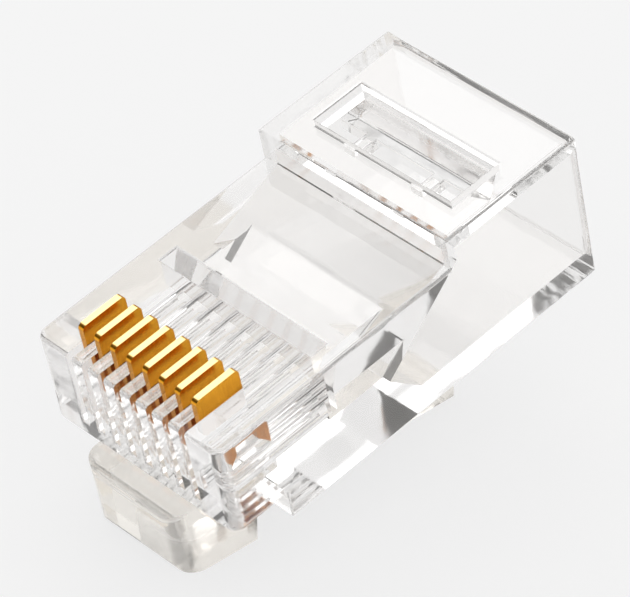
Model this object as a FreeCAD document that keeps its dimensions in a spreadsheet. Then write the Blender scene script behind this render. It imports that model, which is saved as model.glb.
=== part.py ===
import FreeCAD, Part
import math
import os
import Sketcher

# Eight-way modular plug (8P8C) as it comes from the mould, before the cable is
# crimped in. All pieces are drawn square to the plug: X across the eight
# contacts, Y from the nose face to the cable end, Z from the floor of the body
# up to the contact side. At the end the plug is tipped forward so that it lies
# on the flat underside of its latch, as a loose plug does on a table.
# Millimetres and degrees.

SIZES = {
    # body
    "body_width": 11.68,
    "body_length": 21.6,
    "front_height": 6.3,
    "rear_height": 8.0,
    "step_from_nose": 13.7,
    "notch_length": 3.0,
    "notch_height": 1.5,
    "nose_corner_radius": 0.6,
    "edge_radius": 0.2,
    # contact slots and wire channels
    "contact_pitch": 1.02,
    "contact_thickness": 0.32,
    "slot_clearance": 0.02,
    "slot_floor": 2.2,
    "channel_diameter": 1.1,
    "channel_floor": 2.65,
    "channel_front": 1.0,
    # conductor clamp behind the contacts
    "clamp_front": 6.42,
    "clamp_opening": 0.98,
    "clamp_gap": 0.33,
    "clamp_side_margin": 1.09,
    "clamp_lip_height": 4.5,
    # cable cavity, and the ramp that leads the wires down to their channels
    "side_wall": 0.64,
    "roof_thickness": 1.0,
    "cavity_floor": 1.1,
    "ramp_front": 9.6,
    "ramp_drop": 0.45,
    "floor_ramp_length": 1.6,
    "step_wall": 0.6,
    "mouth_chamfer": 0.25,
    # jacket clamp in the raised rear
    "window_from_step": 1.9,
    "window_length": 2.9,
    "window_side_margin": 1.59,
    "bar_drop": 0.8,
    "bar_depth": 1.65,
    "bar_hinge": 0.25,
    "bar_front_gap": 1.25,
    "bar_side_gap": 0.15,
    "bar_front_height": 0.6,
    "bar_root": 0.1,
    "bar_lean": 0.6,
    "post_width": 0.7,
    "post_spacing": 4.2,
    # contacts
    "contact_front": 0.95,
    "contact_length": 2.45,
    "contact_height": 3.6,
    "contact_stand": 1.07,
    "contact_corner": 0.25,
    "prong_length": 1.15,
    "prong_point": 0.69,
    "prong_width": 0.62,
    # latch
    "latch_angle": 12.2,
    "latch_drop": 2.49,
    "latch_width": 6.2,
    "latch_reach": 1.1,
    "latch_corner": 1.0,
    "latch_edge": 0.4,
    "root_height": 0.9,
    "root_thickness": 0.7,
    "root_clearance": 0.02,
    "throat_front": 0.85,
    "throat_floor": 0.5,
    "throat_radius": 0.4,
    "shoulder_from_nose": 2.75,
    "shoulder_height": 1.85,
    "lever_overlap": 0.5,
    "lever_end": 15.8,
    "lever_width": 3.2,
    "lever_root_thickness": 1.15,
    "lever_end_thickness": 0.65,
    "lever_edge": 0.2,
}
CONTACTS = 8
OVERSHOOT = 1

doc = FreeCAD.newDocument("modular_plug")
sheet = doc.addObject("Spreadsheet::Sheet", "sizes")
for row, (word, size) in enumerate(SIZES.items(), start=1):
    sheet.set(f"A{row}", str(size))
    sheet.setAlias(f"A{row}", word)
doc.recompute()


def named(expression):
    """Put the sheet's name before each size that an expression uses."""
    for word in sorted(SIZES, key=len, reverse=True):
        parts = expression.split(word)
        expression = f"\0{list(SIZES).index(word)}\0".join(parts)
    for index, word in enumerate(SIZES):
        expression = expression.replace(f"\0{index}\0", f"sizes.{word}")
    return expression


def number(expression):
    """Value of an expression in the sheet's sizes."""
    result = sheet.evalExpression(named(expression))
    return float(getattr(result, "Value", result))


def bind(thing, prop, expression):
    """Tie a property to the sheet."""
    thing.setExpression(prop, named(expression))


def new_body(name):
    body = doc.addObject("PartDesign::Body", name)
    body.Label = name
    return body


def new_sketch(body, name, plane, shift=None):
    """Empty sketch on one of the body's own planes, moved along its normal."""
    sketch = body.newObject("Sketcher::SketchObject", name)
    support = [item for item in body.Origin.OriginFeatures if item.Role == plane][0]
    sketch.AttachmentSupport = [(support, "")]
    sketch.MapMode = "FlatFace"
    if shift is not None:
        bind(sketch, ".AttachmentOffset.Base.z", shift)
    return sketch


def outline(body, name, plane, corners, shift=None):
    """Closed outline through corners, each a pair of expressions."""
    sketch = new_sketch(body, name, plane, shift)
    points = [FreeCAD.Vector(number(across), number(up), 0) for across, up in corners]
    count = len(points)
    for index in range(count):
        sketch.addGeometry(Part.LineSegment(points[index], points[(index + 1) % count]), False)
    for index in range(count):
        sketch.addConstraint(Sketcher.Constraint("Coincident", index, 2, (index + 1) % count, 1))
    for index, pair in enumerate(corners):
        for axis, expression, value in zip("XY", pair, points[index]):
            rule = Sketcher.Constraint(f"Distance{axis}", -1, 1, index, 1, value)
            label = f"{axis.lower()}{index}"
            sketch.renameConstraint(sketch.addConstraint(rule), label)
            bind(sketch, f"Constraints.{label}", expression)
    return sketch


def circle(body, name, plane, across, up, radius, shift=None):
    """Circle with its centre and radius tied to the sheet."""
    sketch = new_sketch(body, name, plane, shift)
    centre = FreeCAD.Vector(number(across), number(up), 0)
    sketch.addGeometry(Part.Circle(centre, FreeCAD.Vector(0, 0, 1), number(radius)), False)
    rules = (
        ("across", Sketcher.Constraint("DistanceX", -1, 1, 0, 3, centre.x), across),
        ("up", Sketcher.Constraint("DistanceY", -1, 1, 0, 3, centre.y), up),
        ("radius", Sketcher.Constraint("Radius", 0, number(radius)), radius),
    )
    for label, rule, expression in rules:
        sketch.renameConstraint(sketch.addConstraint(rule), label)
        bind(sketch, f"Constraints.{label}", expression)
    return sketch


def corner(body, name, plane, across, up, radius):
    """Region outside a rounded corner whose square tip is at a pair of expressions."""
    sketch = new_sketch(body, name, plane)
    tip = FreeCAD.Vector(number(across), number(up), 0)
    size = number(radius)
    spare = 1
    centre = tip + FreeCAD.Vector(-size, size, 0)
    top = tip + FreeCAD.Vector(0, size, 0)
    side = tip + FreeCAD.Vector(-size, 0, 0)
    outer = [side, side + FreeCAD.Vector(0, -spare, 0), tip + FreeCAD.Vector(spare, -spare, 0),
             top + FreeCAD.Vector(spare, 0, 0), top]
    for start, end in zip(outer, outer[1:]):
        sketch.addGeometry(Part.LineSegment(start, end), False)
    ring = Part.Circle(centre, FreeCAD.Vector(0, 0, 1), size)
    sketch.addGeometry(Part.ArcOfCircle(ring, -math.pi / 2, 0), False)
    for index in range(3):
        sketch.addConstraint(Sketcher.Constraint("Coincident", index, 2, index + 1, 1))
    sketch.addConstraint(Sketcher.Constraint("Coincident", 3, 2, 4, 2))
    sketch.addConstraint(Sketcher.Constraint("Coincident", 0, 1, 4, 1))
    for index in (0, 2):
        sketch.addConstraint(Sketcher.Constraint("Vertical", index))
    for index in (1, 3):
        sketch.addConstraint(Sketcher.Constraint("Horizontal", index))
    sketch.addConstraint(Sketcher.Constraint("Vertical", 4, 3, 4, 1))
    sketch.addConstraint(Sketcher.Constraint("Horizontal", 4, 3, 4, 2))
    sketch.addConstraint(Sketcher.Constraint("DistanceY", 0, 2, 0, 1, spare))
    sketch.addConstraint(Sketcher.Constraint("DistanceX", 3, 2, 3, 1, spare))
    rules = (
        ("across", Sketcher.Constraint("DistanceX", -1, 1, 4, 3, centre.x), f"{across} - {radius}"),
        ("up", Sketcher.Constraint("DistanceY", -1, 1, 4, 3, centre.y), f"{up} + {radius}"),
        ("radius", Sketcher.Constraint("Radius", 4, size), radius),
    )
    for label, rule, expression in rules:
        sketch.renameConstraint(sketch.addConstraint(rule), label)
        bind(sketch, f"Constraints.{label}", expression)
    return sketch


def feature(body, kind, name, sketch, length, symmetric=True):
    """Pad or pocket of a sketch, about the sketch's plane or to one side."""
    made = body.newObject(f"PartDesign::{kind}", name)
    made.Profile = sketch
    made.SideType = "Symmetric" if symmetric else "One side"
    bind(made, "Length", length)
    body.Tip = made
    return made


def row_of(body, name, made):
    """Repeat a feature across the plug at the contact pitch."""
    pattern = body.newObject("PartDesign::LinearPattern", name)
    pattern.Originals = [made]
    across = [item for item in body.Origin.OriginFeatures if item.Role == "X_Axis"][0]
    pattern.Direction = (across, [""])
    pattern.Mode = "Spacing"
    bind(pattern, "Offset", "contact_pitch")
    pattern.Occurrences = CONTACTS
    body.Tip = pattern
    return pattern


def mirrored(body, name, made):
    """Repeat a feature on the other side of the plug."""
    copy = body.newObject("PartDesign::Mirrored", name)
    copy.Originals = [made]
    middle_plane = [item for item in body.Origin.OriginFeatures if item.Role == "YZ_Plane"][0]
    copy.MirrorPlane = (middle_plane, [""])
    body.Tip = copy
    return copy


def edged(body, kind, prop, name, size, test):
    """Fillet or chamfer of the tip's edges that a test picks."""
    doc.recompute()
    base = body.Tip
    edges = [f"Edge{index}" for index, edge in enumerate(base.Shape.Edges, start=1) if test(edge)]
    if not edges:
        raise RuntimeError(f"{name}: no edge found")
    made = body.newObject(f"PartDesign::{kind}", name)
    made.Base = (base, edges)
    bind(made, prop, size)
    body.Tip = made
    return made


def rounded(body, name, radius, test):
    return edged(body, "Fillet", "Radius", name, radius, test)


def chamfered(body, name, size, test):
    return edged(body, "Chamfer", "Size", name, size, test)


SLACK = 1e-3


def near(one, other):
    return abs(one - other) < SLACK


def straight_along(edge, axis):
    """True for a straight edge parallel to an axis, 0, 1 or 2."""
    start, end = edge.Vertexes[0].Point, edge.Vertexes[-1].Point
    if edge.Curve.TypeId != "Part::GeomLine":
        return False
    return all(near(start[other], end[other]) for other in range(3) if other != axis)


def middle(edge):
    return edge.BoundBox.Center


# Places that several pieces share, as expressions in the sheet's sizes.
FIRST_CONTACT = f"-contact_pitch*{(CONTACTS - 1) / 2}"
CHANNEL_CENTRE = "channel_floor + channel_diameter/2"
CHANNEL_TOP = "channel_floor + channel_diameter"
CHANNEL_ROW = f"contact_pitch*{CONTACTS - 1} + channel_diameter"
CAVITY_WIDTH = "body_width - 2*side_wall"
CEILING = "rear_height - roof_thickness"
RAMP_REAR = "step_from_nose + step_wall"
RAMP_TOP = "(front_height + rear_height - roof_thickness)/2 - ramp_drop"
WINDOW_FRONT = "step_from_nose + window_from_step"
WINDOW_REAR = WINDOW_FRONT + " + window_length"
WINDOW_WIDTH = "body_width - 2*window_side_margin"
BAR_TOP = "rear_height - bar_drop"
ROOT_TOP = "root_height + root_thickness/2"
ROOT_UNDER = "root_height - root_thickness/2"
CONTACT_TOP = "front_height + contact_stand"
CONTACT_FOOT = "front_height + contact_stand - contact_height"
CONTACT_REAR = "contact_front + contact_length"


def underside(place):
    """Height of the latch's flat underside at a distance from the nose."""
    return f"-latch_drop - ({place})*tan(latch_angle)"


def above_underside(place, height):
    """Point square above the underside, as a pair of expressions."""
    along = f"{place} + ({height})*sin(latch_angle)"
    up = f"{underside(place)} + ({height})*cos(latch_angle)"
    return along, up


def housing():
    """Clear one-piece moulding with both cable clamps."""
    body = new_body("housing")
    half_width = number("body_width") / 2
    length = number("body_length")

    side = outline(body, "side_view", "YZ_Plane", [
        ("0", "notch_height"),
        ("notch_length", "notch_height"),
        ("notch_length", "0"),
        ("body_length", "0"),
        ("body_length", "rear_height"),
        ("step_from_nose", "rear_height"),
        ("step_from_nose", "front_height"),
        ("0", "front_height"),
    ])
    feature(body, "Pad", "block", side, "body_width")

    rounded(body, "nose_corners", "nose_corner_radius", lambda edge: straight_along(edge, 2)
            and near(abs(middle(edge).x), half_width) and near(middle(edge).y, 0))
    top_heights = (number("front_height"), number("rear_height"))
    rounded(body, "long_edges", "edge_radius", lambda edge: straight_along(edge, 1)
            and near(abs(middle(edge).x), half_width)
            and any(near(middle(edge).z, height) for height in top_heights))

    cavity = outline(body, "cavity_side", "YZ_Plane", [
        (f"body_length + {OVERSHOOT}", "cavity_floor"),
        (f"body_length + {OVERSHOOT}", CEILING),
        (RAMP_REAR, CEILING),
        (RAMP_REAR, RAMP_TOP),
        ("ramp_front", "channel_floor"),
        ("ramp_front + floor_ramp_length", "cavity_floor"),
    ])
    feature(body, "Pocket", "cavity", cavity, CAVITY_WIDTH)

    mouth_half = number(CAVITY_WIDTH) / 2
    chamfered(body, "mouth", "mouth_chamfer", lambda edge: near(middle(edge).y, length)
              and near(edge.BoundBox.YLength, 0) and abs(middle(edge).x) < mouth_half + SLACK
              and number("cavity_floor") - SLACK < middle(edge).z < number(CEILING) + SLACK)

    slot = outline(body, "slot_side", "YZ_Plane", [
        (f"-{OVERSHOOT}", "slot_floor"),
        (CONTACT_REAR + " + slot_clearance", "slot_floor"),
        (CONTACT_REAR + " + slot_clearance", f"front_height + {OVERSHOOT}"),
        (f"-{OVERSHOOT}", f"front_height + {OVERSHOOT}"),
    ], FIRST_CONTACT)
    first_slot = feature(body, "Pocket", "slot", slot, "contact_thickness + 2*slot_clearance")
    row_of(body, "slots", first_slot)

    bore = circle(body, "channel_end", "XZ_Plane", FIRST_CONTACT, CHANNEL_CENTRE,
                  "channel_diameter/2", "-channel_front")
    first_bore = feature(body, "Pocket", "channel", bore,
                         "clamp_front + clamp_gap - channel_front", False)
    row_of(body, "channels", first_bore)

    # Behind the conductor clamp the channels run into one flat slot, as high as they are.
    flat = outline(body, "wire_slot_side", "YZ_Plane", [
        ("clamp_front", "channel_floor"),
        ("ramp_front", "channel_floor"),
        (f"ramp_front + ({RAMP_REAR} - ramp_front)*channel_diameter/({RAMP_TOP} - channel_floor)",
         CHANNEL_TOP),
        ("clamp_front", CHANNEL_TOP),
    ])
    feature(body, "Pocket", "wire_slot", flat, CHANNEL_ROW)

    clamp = outline(body, "clamp_side", "YZ_Plane", [
        ("clamp_front", f"front_height + {OVERSHOOT}"),
        ("clamp_front", CHANNEL_CENTRE),
        ("clamp_front + clamp_gap", CHANNEL_CENTRE),
        ("clamp_front + clamp_gap", "clamp_lip_height"),
        ("clamp_front + clamp_opening", "front_height"),
        ("clamp_front + clamp_opening", f"front_height + {OVERSHOOT}"),
    ])
    feature(body, "Pocket", "conductor_clamp", clamp, "body_width - 2*clamp_side_margin")

    window = outline(body, "window_side", "YZ_Plane", [
        (WINDOW_FRONT, f"{CEILING} - roof_thickness/2"),
        (WINDOW_REAR, f"{CEILING} - roof_thickness/2"),
        (WINDOW_REAR, f"rear_height + {OVERSHOOT}"),
        (WINDOW_FRONT, f"rear_height + {OVERSHOOT}"),
    ])
    feature(body, "Pocket", "window", window, WINDOW_WIDTH)

    # The clamp bar hangs from a thin strip at the rear of the window and leans forward.
    bar = outline(body, "bar_side", "YZ_Plane", [
        (WINDOW_REAR + " + bar_root", BAR_TOP),
        (WINDOW_FRONT + " + bar_front_gap", BAR_TOP),
        (WINDOW_FRONT + " + bar_front_gap", BAR_TOP + " - bar_front_height"),
        (WINDOW_REAR + " - bar_lean", BAR_TOP + " - bar_depth"),
        (WINDOW_REAR + " - bar_root/2", BAR_TOP + " - bar_hinge"),
        (WINDOW_REAR + " + bar_root", BAR_TOP + " - bar_hinge"),
    ])
    feature(body, "Pad", "jacket_clamp", bar, f"{WINDOW_WIDTH} - 2*bar_side_gap")

    post = outline(body, "post_side", "YZ_Plane", [
        (WINDOW_FRONT + " - bar_root", BAR_TOP + " - bar_front_height"),
        (WINDOW_FRONT + " + bar_front_gap + bar_root", BAR_TOP + " - bar_front_height"),
        (WINDOW_FRONT + " + bar_front_gap + bar_root", BAR_TOP),
        (WINDOW_FRONT + " - bar_root", BAR_TOP),
    ], "post_spacing/2")
    first_post = feature(body, "Pad", "post", post, "post_width")
    mirrored(body, "posts", first_post)

    groove = circle(body, "root_groove_side", "YZ_Plane", "notch_length", "root_height",
                    "root_thickness/2 + root_clearance")
    feature(body, "Pocket", "root_groove", groove, "latch_width + 2*root_clearance")
    return body


def latch():
    """Sprung tongue: rounded root, front block, two shoulders and the lever."""
    body = new_body("latch")
    front = -number("latch_reach")

    block = outline(body, "block_side", "YZ_Plane", [
        ("notch_length", ROOT_TOP),
        ("-latch_reach", ROOT_TOP),
        ("-latch_reach", underside("-latch_reach")),
        ("shoulder_from_nose", underside("shoulder_from_nose")),
        above_underside("shoulder_from_nose", "shoulder_height"),
        ("throat_front", "-throat_floor"),
        ("throat_front", ROOT_UNDER),
        ("notch_length", ROOT_UNDER),
    ])
    feature(body, "Pad", "front_block", block, "latch_width")
    front_heights = (number(ROOT_TOP), number(underside("-latch_reach")))
    rounded(body, "front_edges", "latch_edge", lambda edge: straight_along(edge, 0)
            and near(middle(edge).y, front)
            and any(near(middle(edge).z, height) for height in front_heights))
    throat_heights = (-number("throat_floor"), number(ROOT_UNDER))
    rounded(body, "throat", "throat_radius", lambda edge: straight_along(edge, 0)
            and near(middle(edge).y, number("throat_front"))
            and any(near(middle(edge).z, height) for height in throat_heights))

    plan = corner(body, "corner_plan", "XY_Plane", "latch_width/2", "-latch_reach", "latch_corner")
    mirrored(body, "corners", feature(body, "Pocket", "corner", plan, "2*rear_height"))

    bead = circle(body, "root_bead_side", "YZ_Plane", "notch_length", "root_height",
                  "root_thickness/2")
    feature(body, "Pad", "root_bead", bead, "latch_width")

    lever = outline(body, "lever_side", "YZ_Plane", [
        ("shoulder_from_nose - lever_overlap", underside("shoulder_from_nose - lever_overlap")),
        ("lever_end", underside("lever_end")),
        above_underside("lever_end", "lever_end_thickness"),
        above_underside("shoulder_from_nose", "lever_root_thickness"),
        above_underside("shoulder_from_nose - lever_overlap", "lever_root_thickness"),
    ])
    feature(body, "Pad", "lever", lever, "lever_width")
    end_top = number(above_underside("lever_end", "lever_end_thickness")[1])
    rounded(body, "lever_tip", "lever_edge", lambda edge: straight_along(edge, 0)
            and near(middle(edge).z, end_top))
    return body


def contact(index):
    """Gold-plated blade: rounded at its top corners, two piercing prongs below."""
    body = new_body(f"contact_{index + 1}")
    blade = outline(body, "blade_side", "YZ_Plane", [
        ("contact_front", CONTACT_TOP),
        ("contact_front", CONTACT_FOOT),
        ("contact_front + prong_width", CONTACT_FOOT + " + prong_point"),
        ("contact_front + prong_width", CONTACT_FOOT + " + prong_length"),
        (CONTACT_REAR + " - prong_width", CONTACT_FOOT + " + prong_length"),
        (CONTACT_REAR + " - prong_width", CONTACT_FOOT + " + prong_point"),
        (CONTACT_REAR, CONTACT_FOOT),
        (CONTACT_REAR, CONTACT_TOP),
    ], f"{FIRST_CONTACT} + {index}*contact_pitch")
    feature(body, "Pad", "blade", blade, "contact_thickness")
    top = number(CONTACT_TOP)
    rounded(body, "top_corners", "contact_corner", lambda edge: straight_along(edge, 0)
            and near(middle(edge).z, top))
    return body


def lay_down(bodies):
    """Tip the plug onto its latch and centre it over the surface."""
    tilt = FreeCAD.Rotation(FreeCAD.Vector(1, 0, 0), number("latch_angle"))
    for body in bodies:
        body.Placement = FreeCAD.Placement(FreeCAD.Vector(0, 0, 0), tilt)
    doc.recompute()
    exact = Part.makeCompound([body.Shape for body in bodies]).optimalBoundingBox(False)
    shift = FreeCAD.Vector(0, -(exact.YMin + exact.YMax) / 2, -exact.ZMin)
    for body in bodies:
        body.Placement = FreeCAD.Placement(shift, tilt)
    doc.recompute()
    return shift


bodies = [housing(), latch()] + [contact(index) for index in range(CONTACTS)]
doc.recompute()
shift = lay_down(bodies)

for item in doc.Objects:
    if "Invalid" in item.State or "Error" in item.State:
        raise RuntimeError(f"{item.Label} failed: {item.State}")
for body in bodies:
    shape = body.Shape
    if shape.isNull() or not shape.isValid() or len(shape.Solids) != 1:
        raise RuntimeError(f"{body.Label} is not one valid solid")

os.makedirs("parts", exist_ok=True)
for body in bodies:
    body.Shape.exportStep(f"parts/{body.Label}.step")
    box = body.Shape.BoundBox
    print(f"{body.Label:10s} {body.Shape.Volume:9.3f} mm3  {box}")
print("shift", shift)
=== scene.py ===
import math
import bmesh
import bpy
import numpy as np
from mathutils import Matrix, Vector


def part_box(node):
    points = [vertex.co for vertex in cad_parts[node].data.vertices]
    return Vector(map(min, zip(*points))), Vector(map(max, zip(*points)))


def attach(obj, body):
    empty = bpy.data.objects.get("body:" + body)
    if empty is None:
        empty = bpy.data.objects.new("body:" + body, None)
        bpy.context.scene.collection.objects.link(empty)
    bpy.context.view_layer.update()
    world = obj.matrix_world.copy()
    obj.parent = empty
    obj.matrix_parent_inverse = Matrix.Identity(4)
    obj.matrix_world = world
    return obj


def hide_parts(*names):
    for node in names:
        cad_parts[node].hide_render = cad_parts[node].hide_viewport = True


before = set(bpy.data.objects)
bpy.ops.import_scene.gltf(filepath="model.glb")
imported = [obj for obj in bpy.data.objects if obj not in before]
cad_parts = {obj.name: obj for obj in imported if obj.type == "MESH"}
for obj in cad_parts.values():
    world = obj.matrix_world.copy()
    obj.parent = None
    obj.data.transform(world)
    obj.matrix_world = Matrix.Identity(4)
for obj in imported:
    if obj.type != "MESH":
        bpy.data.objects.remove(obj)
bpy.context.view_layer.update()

# Camera. A long lens looks down on the contact side of the plug from the right
# of its nose, so the deck, the nose and the right side wall all show.
VIEW_AZIMUTH = 46.9
VIEW_ELEVATION = 36.1
VIEW_DISTANCE = 0.2
LENS = 262.8
SENSOR_WIDTH = 36.0
AIM = (-0.00056, 0.00026, 0.00751)

around, above = math.radians(VIEW_AZIMUTH), math.radians(VIEW_ELEVATION)
towards_camera = Vector((
    math.sin(around) * math.cos(above),
    -math.cos(around) * math.cos(above),
    math.sin(above),
))
lens_data = bpy.data.cameras.new("camera")
lens_data.lens = LENS
lens_data.sensor_width = SENSOR_WIDTH
lens_data.clip_start = 0.01
lens_data.clip_end = 5.0
camera = bpy.data.objects.new("camera", lens_data)
camera.location = Vector(AIM) + towards_camera * VIEW_DISTANCE
camera.rotation_euler = towards_camera.to_track_quat("Z", "Y").to_euler()
bpy.context.collection.objects.link(camera)
bpy.context.scene.camera = camera

# Studio. The plug lies on a sheet of pale paper under one broad softbox, which
# lies where the deck and the blade tops mirror it. A dark strip round the foot of
# the room and one tall dark flag give the clear edges their thin dark lines.
PAPER = "F6F6F6"
FLOOR_HALF = 1.5
ROOM_LIGHT = 0.97
FLAT_SHARE = 0.82
SOFTBOX_TOWARDS = (-0.59, 0.26, 0.763)
SOFTBOX_DISTANCE = 0.75
SOFTBOX_SIDE = 0.55
SOFTBOX_POWER = 0.86
ROOM_RADIUS = 0.6
STRIP_BOTTOM = 0.001
STRIP_TOP = 0.2
STRIP_FACES = 64
FLAG_FACING = 225.0
FLAG_SPREAD = 34.0
FLAG_TOP = 0.75
FLAG_FACES = 8
STRIP_CLOTH = "5C5B59"
FLAG_CLOTH = "6E6C6A"


def linear(hex_colour):
    """Linear colour with alpha from an sRGB hex value."""
    parts = [int(hex_colour[i:i + 2], 16) / 255 for i in (0, 2, 4)]
    curve = [p / 12.92 if p <= 0.04045 else ((p + 0.055) / 1.055) ** 2.4 for p in parts]
    return (*curve, 1.0)


def add(tree, kind, settings=None, links=None):
    """Add a node, set its properties and sockets by name or place, and link its inputs."""
    node = tree.nodes.new(kind)
    for key, value in (settings or {}).items():
        if isinstance(key, int) or key in node.inputs:
            node.inputs[key].default_value = value
        else:
            setattr(node, key, value)
    for key, source in (links or {}).items():
        tree.links.new(source, node.inputs[key])
    return node


def empty_material(name):
    """A material with no nodes yet, and its node tree."""
    material = bpy.data.materials.new(name)
    material.use_nodes = True
    material.node_tree.nodes.clear()
    return material, material.node_tree


def seen_share(tree, share):
    """A share for rays from the camera, also off a mirror or through glass, and 0 for the rest."""
    paths = add(tree, "ShaderNodeLightPath")
    seen = add(tree, "ShaderNodeMath", {"operation": "MAXIMUM"},
               {0: paths.outputs["Is Camera Ray"], 1: paths.outputs["Is Glossy Ray"]})
    seen = add(tree, "ShaderNodeMath", {"operation": "MAXIMUM"},
               {0: seen.outputs[0], 1: paths.outputs["Is Transmission Ray"]})
    part = add(tree, "ShaderNodeMath", {"operation": "MULTIPLY", 1: share}, {0: seen.outputs[0]})
    return part.outputs[0]


def surround(radius, bottom, top, facing, spread, steps):
    """An upright arc: radius times the sine and cosine of each angle, swept from bottom to top."""
    angle = np.radians(facing + np.linspace(-spread / 2, spread / 2, steps + 1))
    ring = np.stack([radius * np.cos(angle), radius * np.sin(angle)], axis=1)
    rows = [np.column_stack([ring, np.full(steps + 1, z)]) for z in (bottom, top)]
    points = np.concatenate(rows)
    near = np.arange(steps)
    faces = np.stack([near, near + 1, near + steps + 2, near + steps + 1], axis=1)
    return points.tolist(), faces.tolist()


def stage(name, points, faces, material):
    """A piece of the studio, which isn't part of the plug."""
    mesh = bpy.data.meshes.new(name)
    mesh.from_pydata(points, [], faces)
    mesh.materials.append(material)
    obj = bpy.data.objects.new(name, mesh)
    bpy.context.collection.objects.link(obj)
    return obj


world = bpy.data.worlds.new("soft_room")
bpy.context.scene.world = world
world.use_nodes = True
tree = world.node_tree
tree.nodes.clear()
room = add(tree, "ShaderNodeBackground", {"Color": (1, 1, 1, 1), "Strength": ROOM_LIGHT})
back = add(tree, "ShaderNodeBackground", {"Color": linear(PAPER), "Strength": 1.0})
both = add(tree, "ShaderNodeMixShader",
           links={0: seen_share(tree, 1.0), 1: room.outputs[0], 2: back.outputs[0]})
add(tree, "ShaderNodeOutputWorld", links={"Surface": both.outputs[0]})

# Smooth uncoated paper: even and matt, with the plug's soft shadow on it.
paper, tree = empty_material("pale_paper")
sheet = add(tree, "ShaderNodeBsdfDiffuse", {"Color": linear(PAPER)})
flat = add(tree, "ShaderNodeEmission", {"Color": linear(PAPER), "Strength": 1.0})
both = add(tree, "ShaderNodeMixShader",
           links={0: seen_share(tree, FLAT_SHARE), 1: sheet.outputs[0], 2: flat.outputs[0]})
add(tree, "ShaderNodeOutputMaterial", links={"Surface": both.outputs[0]})
corners = [(-FLOOR_HALF, -FLOOR_HALF, 0), (FLOOR_HALF, -FLOOR_HALF, 0),
           (FLOOR_HALF, FLOOR_HALF, 0), (-FLOOR_HALF, FLOOR_HALF, 0)]
stage("floor", corners, [(0, 1, 2, 3)], paper)


def cloth(name, colour):
    """Matt cloth of one colour, for the dark parts of the room."""
    material, tree = empty_material(name)
    shade = add(tree, "ShaderNodeBsdfDiffuse", {"Color": linear(colour)})
    add(tree, "ShaderNodeOutputMaterial", links={"Surface": shade.outputs[0]})
    return material


strip_shape = surround(ROOM_RADIUS, STRIP_BOTTOM, STRIP_TOP, 0.0, 360.0, STRIP_FACES)
strip = stage("dark_strip", *strip_shape, cloth("black_cloth", STRIP_CLOTH))
flag_shape = surround(ROOM_RADIUS, STRIP_TOP, FLAG_TOP, FLAG_FACING, FLAG_SPREAD, FLAG_FACES)
flag = stage("dark_flag", *flag_shape, cloth("grey_cloth", FLAG_CLOTH))
strip.visible_camera = flag.visible_camera = False

softbox_data = bpy.data.lights.new("softbox", "AREA")
softbox_data.size = SOFTBOX_SIDE
softbox_data.energy = SOFTBOX_POWER
softbox = bpy.data.objects.new("softbox", softbox_data)
softbox.location = Vector(SOFTBOX_TOWARDS).normalized() * SOFTBOX_DISTANCE
softbox.rotation_euler = Vector(SOFTBOX_TOWARDS).to_track_quat("Z", "Y").to_euler()
bpy.context.collection.objects.link(softbox)

# Light passes dozens of clear walls on its way through the comb and the wire
# channels, so it is followed through as many, or they would go black.
WALLS_PASSED = 48
cycles = bpy.context.scene.cycles
cycles.max_bounces = WALLS_PASSED
cycles.glossy_bounces = WALLS_PASSED
cycles.transmission_bounces = WALLS_PASSED

# Housing. One clear polycarbonate moulding, shot in a polished steel tool.
# Its faces are glossy and water-clear and its edges have a tiny radius. The melt
# left faint long swells, so straight edges seen through it waver a little.
CLEAR = "FAF9F8"
CLEAR_IOR = 1.585
SWELL_MM = 2.6
SWELL_HEIGHT = 0.00002
HAZE_MM = 1.2
HAZE_FROM = (0.35, 0.7)
HAZE_RANGE = (0.03, 0.1)
# The tool's polishing marks are a few microns across, too fine to show here,
# so they are drawn about half a millimetre across and very low.
POLISH_MM = 0.5
POLISH_HEIGHT = 0.0000003


def cells(size_mm):
    """Pattern scale at which one cell is this many millimetres."""
    return 1000.0 / size_mm


def moulded(name, colour, haze_range, swell_height, grain_mm, grain_height):
    """Clear moulded plastic: glass of its colour, with a hazy patchwork, slow swells and a grain."""
    material, tree = empty_material(name)
    place = add(tree, "ShaderNodeTexCoord").outputs["Object"]
    haze = add(tree, "ShaderNodeTexNoise", {"Scale": cells(HAZE_MM), "Detail": 3.0}, {"Vector": place})
    rough = add(tree, "ShaderNodeMapRange",
                {"From Min": HAZE_FROM[0], "From Max": HAZE_FROM[1],
                 "To Min": haze_range[0], "To Max": haze_range[1]},
                {"Value": haze.outputs["Fac"]})
    swell = add(tree, "ShaderNodeTexNoise", {"Scale": cells(SWELL_MM), "Detail": 1.0}, {"Vector": place})
    grain = add(tree, "ShaderNodeTexNoise", {"Scale": cells(grain_mm), "Detail": 2.0}, {"Vector": place})
    slow = add(tree, "ShaderNodeBump", {"Strength": 1.0, "Distance": swell_height},
               {"Height": swell.outputs["Fac"]})
    fine = add(tree, "ShaderNodeBump", {"Strength": 1.0, "Distance": grain_height},
               {"Height": grain.outputs["Fac"], "Normal": slow.outputs["Normal"]})
    shader = add(tree, "ShaderNodeBsdfPrincipled",
                 {"Base Color": linear(colour), "IOR": CLEAR_IOR, "Transmission Weight": 1.0},
                 {"Roughness": rough.outputs["Result"], "Normal": fine.outputs["Normal"]})
    add(tree, "ShaderNodeOutputMaterial", links={"Surface": shader.outputs[0]})
    return material


EDGE_RADIUS_MM = 0.08
EDGE_STEPS = 2
SHARP_DEGREES = 35.0
SHORTEST_MM = 0.25
FLAT_DEGREES = 0.5
SAME_POINT = 1e-7
TOO_THIN = 1e-6


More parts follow.
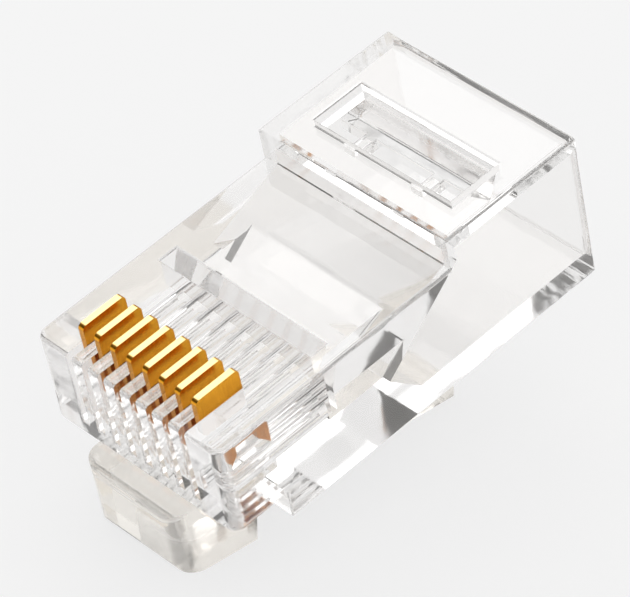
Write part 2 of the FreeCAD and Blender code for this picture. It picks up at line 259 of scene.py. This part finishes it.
def in_order(loose, name):
    """A copy of a mesh of triangles in a fixed order, with the same shading.

    Rounding leaves triangles in an order that changes from run to run. Here points
    are in order of place and triangles in order of their points. The stored corner
    normals go along with them. The mesh handed in is removed.
    """
    points = np.empty(len(loose.vertices) * 3)
    loose.vertices.foreach_get("co", points)
    points = points.reshape(-1, 3)
    corners = np.empty(len(loose.loops), dtype=int)
    loose.polygons.foreach_get("vertices", corners)
    smooth = np.empty(len(loose.polygons), dtype=bool)
    loose.polygons.foreach_get("use_smooth", smooth)
    stored = np.empty(len(loose.loops) * 2, dtype=int)
    loose.attributes["custom_normal"].data.foreach_get("value", stored)
    bpy.data.meshes.remove(loose)
    order = np.lexsort(points.T)
    place = np.empty(len(order), dtype=int)
    place[order] = np.arange(len(order))
    triangles = place[corners.reshape(-1, 3)]
    line = np.lexsort(np.sort(triangles, axis=1).T)
    result = bpy.data.meshes.new(name)
    result.from_pydata(points[order].tolist(), [], triangles[line].tolist())
    result.polygons.foreach_set("use_smooth", smooth[line])
    shading = result.attributes.new("custom_normal", "INT16_2D", "CORNER")
    shading.data.foreach_set("value", stored.reshape(-1, 6)[line].ravel())
    result.update()
    return result


def softened(mesh, box, radius_mm, sharp_degrees, shortest_mm):
    """A merged copy of a mesh with its sharp outward edges rounded, kept inside a box.

    An edge is rounded where its two faces turn outwards by more than the given
    angle and it is longer than the given length, so short facets stay as they are.
    """
    work = bmesh.new()
    work.from_mesh(mesh)
    bmesh.ops.remove_doubles(work, verts=work.verts, dist=SAME_POINT)
    bmesh.ops.dissolve_limit(work, angle_limit=math.radians(FLAT_DEGREES),
                             verts=work.verts, edges=work.edges)
    sharp = [edge for edge in work.edges
             if edge.is_manifold and edge.calc_length() > shortest_mm / 1000
             and edge.calc_face_angle_signed() > math.radians(sharp_degrees)]
    bmesh.ops.bevel(work, geom=sharp, offset=radius_mm / 1000, offset_type="OFFSET",
                    segments=EDGE_STEPS, profile=0.5, affect="EDGES", clamp_overlap=False)
    bmesh.ops.dissolve_degenerate(work, dist=TOO_THIN, edges=work.edges)
    bmesh.ops.triangulate(work, faces=work.faces)
    loose = bpy.data.meshes.new("rounded")
    work.to_mesh(loose)
    work.free()
    points = np.empty(len(loose.vertices) * 3)
    loose.vertices.foreach_get("co", points)
    points = np.clip(points.reshape(-1, 3), box[0], box[1])
    loose.vertices.foreach_set("co", points.ravel())
    loose.update()
    return in_order(loose, "moulded_housing")


housing_mesh = softened(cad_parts["housing"].data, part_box("housing"), EDGE_RADIUS_MM,
                        SHARP_DEGREES, SHORTEST_MM)
housing_mesh.materials.clear()
housing_mesh.materials.append(
    moulded("polished_polycarbonate", CLEAR, HAZE_RANGE, SWELL_HEIGHT, POLISH_MM, POLISH_HEIGHT))
housing = bpy.data.objects.new("moulded_housing", housing_mesh)
bpy.context.collection.objects.link(housing)
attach(housing, "plug_body")
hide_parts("housing")

# Latch. It is part of the same shot as the housing. The real latch bends at its thin root; here it only
# gets its finish.
# Its part of the tool is less polished, so it looks a shade cloudier.
LATCH_HAZE_RANGE = (0.05, 0.16)
LATCH_CLEAR = "FAF6EF"
LATCH_MARKS_MM = 0.35
LATCH_MARKS_HEIGHT = 0.000006


def dress(node, material):
    """Give a CAD node its finish."""
    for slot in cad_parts[node].material_slots:
        slot.material = material


dress("latch", moulded("satin_polycarbonate", LATCH_CLEAR, LATCH_HAZE_RANGE, SWELL_HEIGHT,
                       LATCH_MARKS_MM, LATCH_MARKS_HEIGHT))

# Contacts. Eight blades sheared from phosphor bronze strip and gold plated, each pressed down into its
# slot. The crests carry a pale painted highlight. The sheared sides have faint upright streaks, and
# painted shade turns them a deeper gold, darkest low down.
GOLD = "F0A92C"
# Painted shade: the deep gold that the sides turn to low down, also the dark side of the streaks.
STREAK_AND_SHADE_GOLD = "AE6606"
# Painted highlight: the pale gold along the top of each crest.
CREST_HIGHLIGHT_GOLD = "FFE7A0"
# Real shear marks are about 0.02 mm apart, too fine to show, so they are drawn wider.
STREAK_MM = 0.1
STREAK_LENGTH_MM = 1.2
STREAK_DEPTH = 0.000002
STREAK_SHARE = 0.5
TOP_SHARE = 0.7
GOLD_ROUGHNESS = (0.14, 0.28)
# Height of the painted highlight band along each crest.
CREST_MM = 0.035
# Height over which the painted shade on the sides fades out towards the crest.
SIDE_MM = 2.2
TILT = math.radians(12.2)

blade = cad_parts["contact_4"].data
points = np.empty(len(blade.vertices) * 3)
blade.vertices.foreach_get("co", points)
points = points.reshape(-1, 3)
crest = float((points[:, 2] * math.cos(TILT) - points[:, 1] * math.sin(TILT)).max())

gold, tree = empty_material("gold_plated_bronze")
place = add(tree, "ShaderNodeTexCoord").outputs["Object"]
upright = add(tree, "ShaderNodeMapping", {"Rotation": (-TILT, 0.0, 0.0)}, {"Vector": place})
height = add(tree, "ShaderNodeSeparateXYZ", links={"Vector": upright.outputs["Vector"]}).outputs["Z"]
drawn = add(tree, "ShaderNodeMapping", {"Scale": (1.0, 1.0, STREAK_MM / STREAK_LENGTH_MM)},
            {"Vector": upright.outputs["Vector"]})
streaks = add(tree, "ShaderNodeTexNoise", {"Scale": cells(STREAK_MM), "Detail": 2.0},
              {"Vector": drawn.outputs["Vector"]})
# Painted shade: the sides turn towards the deep gold lower down, added to the streaks.
shade_low_down = add(tree, "ShaderNodeMapRange",
               {"From Min": crest - SIDE_MM / 1000, "From Max": crest, "To Min": 0.0, "To Max": TOP_SHARE},
               {"Value": height})
shade = add(tree, "ShaderNodeMath", {"operation": "MULTIPLY_ADD", 1: STREAK_SHARE},
            {0: streaks.outputs["Fac"], 2: shade_low_down.outputs["Result"]})
side = add(tree, "ShaderNodeMix", {"data_type": "RGBA", 6: linear(STREAK_AND_SHADE_GOLD), 7: linear(GOLD)},
           {0: shade.outputs[0]})
# Painted highlight: a pale band over the top CREST_MM of each blade.
crest_highlight = add(tree, "ShaderNodeMapRange", {"From Min": crest - CREST_MM / 1000, "From Max": crest},
               {"Value": height})
tint = add(tree, "ShaderNodeMix", {"data_type": "RGBA", 7: linear(CREST_HIGHLIGHT_GOLD)},
           {0: crest_highlight.outputs["Result"], 6: side.outputs[2]})
rough = add(tree, "ShaderNodeMapRange", {"To Min": GOLD_ROUGHNESS[0], "To Max": GOLD_ROUGHNESS[1]},
            {"Value": streaks.outputs["Fac"]})
ridges = add(tree, "ShaderNodeBump", {"Strength": 1.0, "Distance": STREAK_DEPTH},
             {"Height": streaks.outputs["Fac"]})
shader = add(tree, "ShaderNodeBsdfPrincipled", {"Metallic": 1.0},
             {"Base Color": tint.outputs[2], "Roughness": rough.outputs["Result"],
              "Normal": ridges.outputs["Normal"]})
add(tree, "ShaderNodeOutputMaterial", links={"Surface": shader.outputs[0]})
for number in range(1, 9):
    dress(f"contact_{number}", gold)

bpy.context.scene.view_settings.view_transform = "Standard"
